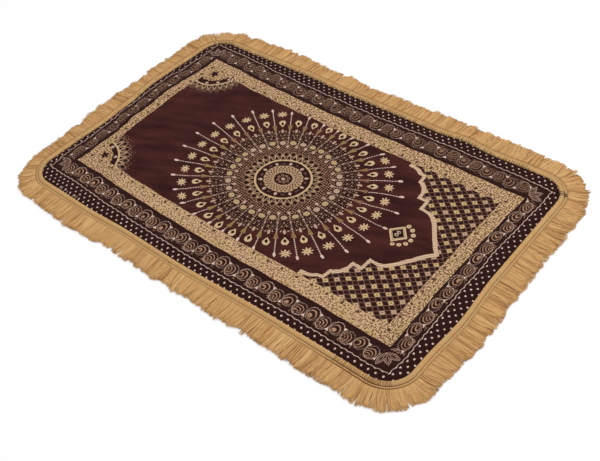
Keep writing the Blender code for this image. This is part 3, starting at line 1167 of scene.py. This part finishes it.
def makeThreadFinish():
    finish = Finish("sewingThread", roughness=0.7, specular=0.2)
    twist, tone = twistOf(finish, yarnLook["threadTwist"]), toneOf(finish)
    colour = finish.paint("sewing", "sewingDark", twist * 0.5 + 0.5)
    colour = finish.paint(colour, "dot", tone > 0.5)
    colour = finish.paint(colour, "knot", tone < -0.5)
    return finish.close(colour, twist, 0.0001, 0.6)


yarnFinish = makeYarnFinish()
headingPiece = makeHeading(makeHeadingFinish())
print("heading made", len(headingPiece.data.polygons))


tubeCell = {  # each tube's walls and its two caps have a cell of their own on the baked map
    "walls": (0.04, 0.04),
    "wallSize": (0.92, 0.80),
    "caps": (0.08, 0.88),
    "capSize": (0.36, 0.08),
    "capStep": 0.48,
}


def tubeCells(tubes, rings, sides):
    columns = math.ceil(math.sqrt(tubes))
    tube = np.arange(tubes)[:, None, None, None]
    side = np.arange(sides)[:, None] + np.array((0, 0, 1, 1))
    ring = np.arange(rings - 1)[:, None, None] + np.array((0, 1, 1, 0))
    (startU, startV), (wide, high) = tubeCell["walls"], tubeCell["wallSize"]
    u = tube % columns + startU + wide * side / sides
    v = tube // columns + startV + high * ring / (rings - 1)
    walls = np.stack(np.broadcast_arrays(u, v), axis=-1).reshape(-1, 2)
    tube = tube[:, 0]
    (startU, startV), (wide, high) = tubeCell["caps"], tubeCell["capSize"]
    apart = tubeCell["capStep"] * np.arange(2)[:, None]
    u = tube % columns + startU + apart + wide * np.array((0, 1, 1, 0))
    v = tube // columns + startV + high * np.array((0, 0, 1, 1))
    caps = np.stack(np.broadcast_arrays(u, v), axis=-1).reshape(-1, 2)
    return np.concatenate((walls, caps)) / (columns, math.ceil(tubes / columns))


# Joined tubes: one array of centre lines, (tubes, rings, 3), and one of radii, (tubes, rings)
def tubeMesh(name, lines, radii, tones, sides=4):
    tubes, rings = radii.shape
    ahead = np.gradient(lines, axis=1)
    ahead /= np.linalg.norm(ahead, axis=2, keepdims=True)
    across = np.cross(ahead, (0.0, 0.0, 1.0))
    across /= np.linalg.norm(across, axis=2, keepdims=True)
    above = np.cross(across, ahead)
    turn = (np.arange(sides) + 0.5) * 2 * math.pi / sides
    around = across[:, :, None] * np.cos(turn)[:, None]
    around = around + above[:, :, None] * np.sin(turn)[:, None]
    points = lines[:, :, None] + around * radii[:, :, None, None]
    number = np.arange(tubes * rings * sides).reshape(tubes, rings, sides)
    onward = np.roll(number, -1, axis=2)
    walls = np.stack((number[:, :-1], number[:, 1:], onward[:, 1:], onward[:, :-1]), axis=-1)
    caps = np.stack((number[:, 0], number[:, -1, ::-1]), axis=1)
    faces = np.concatenate((walls.reshape(-1, 4), caps.reshape(-1, 4)))
    steps = np.linalg.norm(np.diff(lines, axis=1), axis=2)
    along = np.concatenate((np.zeros((tubes, 1)), np.cumsum(steps, axis=1)), axis=1)
    along = np.broadcast_to(along[:, :, None], number.shape).ravel()
    mesh = bpy.data.meshes.new(name)
    mesh.from_pydata(points.reshape(-1, 3).tolist(), [], faces.tolist())
    side = np.tile(np.arange(sides), tubes * (rings - 1))[:, None] + np.array((0, 0, 1, 1))
    turns = np.concatenate((side / sides, np.zeros((2 * tubes, 4))))
    uvMap(mesh, "yarn", np.stack((along[faces], turns), axis=-1))
    uvMap(mesh, "OFBake", tubeCells(tubes, rings, sides))
    tone = mesh.attributes.new("tone", "FLOAT", "POINT")
    tone.data.foreach_set("value", np.repeat(tones, rings * sides).astype(np.float32))
    mesh.shade_smooth()
    return mesh


fringe = {
    "seed": 11,
    "yarns": 2700,  # in each layer
    "spacing": 0.4,  # how unevenly they are spaced
    "layers": ("Lower", "Middle", "Upper"),
    "rings": 7,
    "radius": 0.00075,
    "rootOffset": 0.0184,
    "rootRise": 0.0017,  # how much higher the roots are than the tips
    "layerRise": 0.0010,
    "layerSink": 0.45,  # how much less it is at the tips
    "layerLength": 0.0008,  # how much shorter each lower layer is
    # each lower layer is darker: painted shade under the layers above it
    "layerPaintedShade": 0.09,
    "foot": ((-0.26, 0.0630), (-0.18, 0.0595), (-0.13, 0.0592), (-0.08, 0.0530), (0.01, 0.0660),
             (0.09, 0.0670), (0.16, 0.0562), (0.22, 0.0525)),
    "right": ((-0.45, 0.0615), (-0.34, 0.0668), (-0.23, 0.0652), (-0.19, 0.0610),
              (-0.08, 0.0606), (0.05, 0.0618), (0.15, 0.0665), (0.23, 0.0635), (0.37, 0.0668),
              (0.44, 0.0625)),
    "arch": ((-0.26, 0.0625), (-0.17, 0.0652), (0.00, 0.0645), (0.18, 0.0647), (0.25, 0.0605)),
    "left": ((-0.45, 0.0605), (-0.37, 0.0668), (-0.28, 0.0680), (-0.225, 0.0595),
             (-0.12, 0.0665), (-0.04, 0.0568), (0.04, 0.0630), (0.10, 0.0630), (0.16, 0.0685),
             (0.26, 0.0610), (0.35, 0.0690), (0.44, 0.0630)),
    "lengthWave": 0.0008,
    "lengthCycles": (7, 19, 31),
    "leanWave": 0.0042,
    "leanCycles": (5, 13, 23),
    "clumps": (150, 210, 290),  # in the lower, middle and upper layer
    "clumpSpacing": 0.6,
    "clumpLength": 0.0026,
    "ragged": (0.978, 0.030, 1.7),  # on the way round, the lengths here vary more
    "raggedLoss": 0.0012,
    "clumpLean": 0.0034,
    "clumpRound": 0.0039,  # how much shorter the yarns at a clump's sides are
    "clumpDraw": 0.0007,  # how far they draw in
    "clumpTone": 0.11,
    # the yarns at a clump's sides are darker: painted shade in the partings between clumps
    "clumpPaintedShade": 0.12,
    "yarnLength": 0.0008,
    "yarnLean": 0.0013,
    "yarnTone": 0.34,
    "sway": (0.0022, 4.5, 0.7),  # width, turns, and how much it differs in a clump
    "fallShare": 0.55,  # the part of a yarn that slopes down to the floor
    "lift": 0.0005,
    "partings": 26,  # places where all the layers part
    "partDepth": 0.0016,
    "partLean": 0.0026,
    "partWidth": 0.0011,  # as a share of the way round
}


def slowWave(share, cycles):
    turn = 2 * math.pi * share
    return sum(np.sin(turn * cycle + cycle) for cycle in cycles) / len(cycles)


def clumpsAt(draw, count, share):  # each yarn's clump, and its place there from -1 to 1
    bounds = (np.arange(count) + draw.uniform(0, fringe["clumpSpacing"], count)) / count
    clump = np.searchsorted(bounds, share) % count
    width = (bounds[clump] - bounds[clump - 1]) % 1.0
    return clump, 2 * ((share - bounds[clump - 1]) % 1.0) / width - 1


def acrossEdge(edge, offset, sideways, height):  # centre lines that run out over the cloth's edge
    points, normals = edge
    tangents = np.column_stack((-normals[:, 1], normals[:, 0]))
    flat = (points[:, None] + normals[:, None] * offset[..., None]
            + tangents[:, None] * sideways[..., None])
    return np.concatenate((flat, height[..., None]), axis=2)


def yarnLayer(draw, level, partings):  # centre lines, radii and tones of one layer's yarns
    count, clumps = fringe["yarns"], fringe["clumps"][level]
    levels = len(fringe["layers"])
    lower = levels - 1 - level
    moved = draw.uniform(-fringe["spacing"], fringe["spacing"], count)
    share = (np.arange(count) + moved + level / levels) / count % 1.0
    clump, within = clumpsAt(draw, clumps, share)
    away = (share[:, None] - partings[None, :] + 0.5) % 1.0 - 0.5
    away = away[np.arange(count), np.abs(away).argmin(axis=1)] / fringe["partWidth"]
    part = np.exp(-away * away)
    points, normals = edgeAt(share)
    side, end = bySide(points[:, 0], points[:, 1], fringe["right"], fringe["left"],
                       fringe["arch"], fringe["foot"])
    length = side * normals[:, 0] ** 2 + end * normals[:, 1] ** 2
    length += fringe["lengthWave"] * slowWave(share, fringe["lengthCycles"])
    middle, width, more = fringe["ragged"]
    ragged = 1 + more * np.exp(-((share - middle) / width) ** 2)
    length += draw.normal(0, fringe["clumpLength"], clumps)[clump] * ragged
    length -= fringe["raggedLoss"] * ragged * (ragged - 1)
    length -= fringe["clumpRound"] * np.abs(within) ** 2.5 + fringe["partDepth"] * part
    length += draw.normal(0, fringe["yarnLength"], count) * ragged - fringe["layerLength"] * lower
    lean = fringe["leanWave"] * slowWave(share, fringe["leanCycles"])
    lean += draw.normal(0, fringe["clumpLean"], clumps)[clump] - fringe["clumpDraw"] * within
    lean += draw.normal(0, fringe["yarnLean"], count) + fringe["partLean"] * away * part
    tone = 0.5 + draw.normal(0, fringe["clumpTone"], clumps)[clump]
    tone += draw.normal(0, fringe["yarnTone"], count)
    # painted shade: darker at a clump's sides and on the lower layers
    tone -= fringe["clumpPaintedShade"] * within ** 4 + fringe["layerPaintedShade"] * lower
    t = np.linspace(0, 1, fringe["rings"])[None, :]
    offset = fringe["rootOffset"] + (length[:, None] - fringe["rootOffset"]) * t
    width, turns, differs = fringe["sway"]
    phase = draw.uniform(0, 2 * math.pi, clumps)[clump] + draw.normal(0, differs, count)
    sway = width * np.sin(t * turns + phase[:, None]) * t
    sideways = lean[:, None] * (0.25 * t + 0.75 * t * t) + sway
    fall = np.clip(1 - t / fringe["fallShare"], 0, 1) ** 2
    rest = fringe["radius"] * 0.9 + level * fringe["layerRise"] * (1 - fringe["layerSink"] * t)
    lift = np.abs(draw.normal(0, fringe["lift"], (count, 1))) * t ** 3
    height = rest + fringe["rootRise"] * fall + lift
    radii = fringe["radius"] * np.broadcast_to(1 - 0.25 * t ** 6, height.shape)
    return acrossEdge((points, normals), offset, sideways, height), radii, tone


def makeYarns(finish):
    draw = np.random.default_rng(fringe["seed"])
    partings = draw.uniform(0, 1, fringe["partings"])
    pieces = []
    for level, layer in enumerate(fringe["layers"]):
        mesh = tubeMesh("fringeYarns" + layer, *yarnLayer(draw, level, partings))
        pieces.append(placePiece("fringeYarns" + layer, mesh, [finish]))
    return pieces


yarnPieces = makeYarns(yarnFinish)
print("yarns made", len(yarnPieces))


# Sewing threads
sewing = {
    "seed": 5,
    "rows": (0.0106, 0.0164),  # distance from the cloth's edge
    "pitch": 0.0044,
    "stitch": 0.0034,
    "slant": 0.0009,
    "shift": 0.4,  # from row to row, in stitches
    "lift": 0.0004,
    "sink": 0.0009,  # the ends of a stitch go down into the heading
    "sway": 0.0006,
    "rings": (5, 7),  # of a stitch, and of a thread across
    "spacing": (0.3, 0.7),  # where in its pitch a thread across may lie
    "ontoCloth": 0.2,  # slope of the threads that lie on the cloth
    "radius": 0.00050,
    "bold": (0.452, 0.028, 0.0009),  # on the way round, the stitches here are thicker
    "around": 3.46,  # metres, once round the heading
    # Threads across the heading: from and to on the way round, pitch, share of them that shows,
    # where they start and end beyond the cloth's edge, radius, and tone (0 brown, 1 pale, -1 dark)
    "across": (
        (0.704, 0.985, 0.0060, 0.85, (-0.0012, -0.0006), (0.0045, 0.0085), 0.00070, -1.0),
        (0.000, 0.140, 0.0052, 0.45, (-0.0012, -0.0006), (0.0040, 0.0075), 0.00045, 0.0),
        (0.435, 0.478, 0.0047, 1.00, (0.0000, 0.0030), (0.0085, 0.0150), 0.00050, 0.0),
        (0.200, 0.226, 0.0105, 0.95, (-0.0115, -0.0060), (0.0005, 0.0020), 0.00055, 1.0),
        (0.6608, 0.6665, 0.0065, 1.00, (-0.0100, -0.0060), (0.0095, 0.0135), 0.00085, -1.0),
        (0.6608, 0.6650, 0.0065, 1.00, (0.0105, 0.0112), (0.0148, 0.0155), 0.00150, -1.0),
        (0.313, 0.314, 0.0065, 1.00, (0.0100, 0.0105), (0.0122, 0.0126), 0.00110, -1.0),
    ),
}


def rollHeight(offset):  # top of the heading at distances from the cloth's edge
    offsets, heights = np.transpose(heading["profile"][::-1])
    return np.interp(offset, offsets, heights)


def threadsAcross(share, start, end, lift, sway):  # centre lines that lie over the heading
    t = np.linspace(0, 1, sewing["rings"][1])[None, :]
    offset = start[:, None] + (end - start)[:, None] * t
    onCloth = heading["profile"][-1][1] - sewing["ontoCloth"] * offset
    height = np.where(offset < 0, onCloth, rollHeight(offset)) + lift * np.sin(math.pi * t) ** 0.5
    return acrossEdge(edgeAt(share), offset, sway[:, None] * np.sin(t * 3), height)


def makeStitches(finish):
    count = round(sewing["around"] / sewing["pitch"])
    half = sewing["stitch"] / sewing["around"] / 2
    t = np.linspace(-1, 1, sewing["rings"][0])
    place, width, more = sewing["bold"]
    lines, thick = [], []
    for row, offset in enumerate(sewing["rows"]):
        middle = (np.arange(count) + row * sewing["shift"]) / count
        share = (middle[:, None] + half * t).ravel()
        height = rollHeight(offset) + sewing["lift"] - sewing["sink"] * np.tile(t ** 4, count)
        slanted = offset + sewing["slant"] * np.tile(t, count)
        lines.append(outside(share, slanted, height).reshape(count, len(t), 3))
        thick.append(sewing["radius"] + more * np.exp(-((middle - place) / width) ** 2))
    lines = np.concatenate(lines)
    radii = np.repeat(np.concatenate(thick)[:, None], len(t), axis=1)
    mesh = tubeMesh("sewingRows", lines, radii, np.zeros(len(lines)))
    return placePiece("sewingRows", mesh, [finish])


def makeCrossings(finish):
    draw = np.random.default_rng(sewing["seed"])
    lines, radii, tones = [], [], []
    for first, last, pitch, shown, starts, ends, radius, tone in sewing["across"]:
        count = max(1, round((last - first) * sewing["around"] / pitch))
        place = np.arange(count) + draw.uniform(*sewing["spacing"], count)
        share = first + (last - first) * place / count
        share = share[draw.uniform(0, 1, count) < shown]
        start, end = draw.uniform(*starts, len(share)), draw.uniform(*ends, len(share))
        sway = draw.normal(0, sewing["sway"], len(share))
        lines.append(threadsAcross(share, start, end, radius * 0.3, sway))
        radii.append(np.full(lines[-1].shape[:2], radius))
        tones.append(np.full(len(share), tone))
    mesh = tubeMesh("sewingCrossings", *(np.concatenate(part) for part in (lines, radii, tones)))
    return placePiece("sewingCrossings", mesh, [finish])


threadFinish = makeThreadFinish()
threadPieces = [makeStitches(threadFinish), makeCrossings(threadFinish)]
print("threads sewn")


# Floor, light and camera
def makeStage():
    bm = bmesh.new()
    bmesh.ops.create_grid(bm, x_segments=1, y_segments=1, size=light["floorHalf"],
                          matrix=Matrix.Translation((0, 0, -light["floorDrop"])))
    mesh = toMesh("floor", bm)
    finish = Finish("paleFloor", roughness=0.9)
    finish.feed(finish.shader.inputs["Base Color"], light["floor"])
    mesh.materials.append(finish.material)
    floor = bpy.data.objects.new("floor", mesh)
    bpy.context.scene.collection.objects.link(floor)
    world = bpy.data.worlds.new("softLight")
    world.use_nodes = True
    sky = world.node_tree.nodes["Background"].inputs
    sky["Color"].default_value = (1, 1, 1, 1)
    sky["Strength"].default_value = light["world"]
    bpy.context.scene.world = world
    lamp = bpy.data.lights.new("key", "AREA")
    lamp.energy = light["key"]
    lamp.size = light["keySize"]
    lit = bpy.data.objects.new("key", lamp)
    lit.location = light["keyPlace"]
    lit.rotation_mode = "QUATERNION"
    lit.rotation_quaternion = (-Vector(light["keyPlace"])).to_track_quat("-Z", "Y")
    bpy.context.scene.collection.objects.link(lit)


cameraSet = {
    "place": (1.02001, 1.06817, 1.35809),
    "target": (0.10907, 0.13057, 0.0062),
    "roll": -7.74,
    "lens": 51.74,
}


def makeCamera():
    camera = bpy.data.objects.new("camera", bpy.data.cameras.new("camera"))
    camera.data.lens = cameraSet["lens"]
    camera.data.sensor_width = 36.0
    camera.location = cameraSet["place"]
    ahead = (Vector(cameraSet["target"]) - Vector(cameraSet["place"])).to_track_quat("-Z", "Y")
    camera.rotation_mode = "QUATERNION"
    camera.rotation_quaternion = ahead @ Quaternion((0, 0, 1), math.radians(cameraSet["roll"]))
    bpy.context.scene.collection.objects.link(camera)
    bpy.context.scene.camera = camera


makeStage()
makeCamera()
bpy.context.scene.view_settings.view_transform = "Standard"
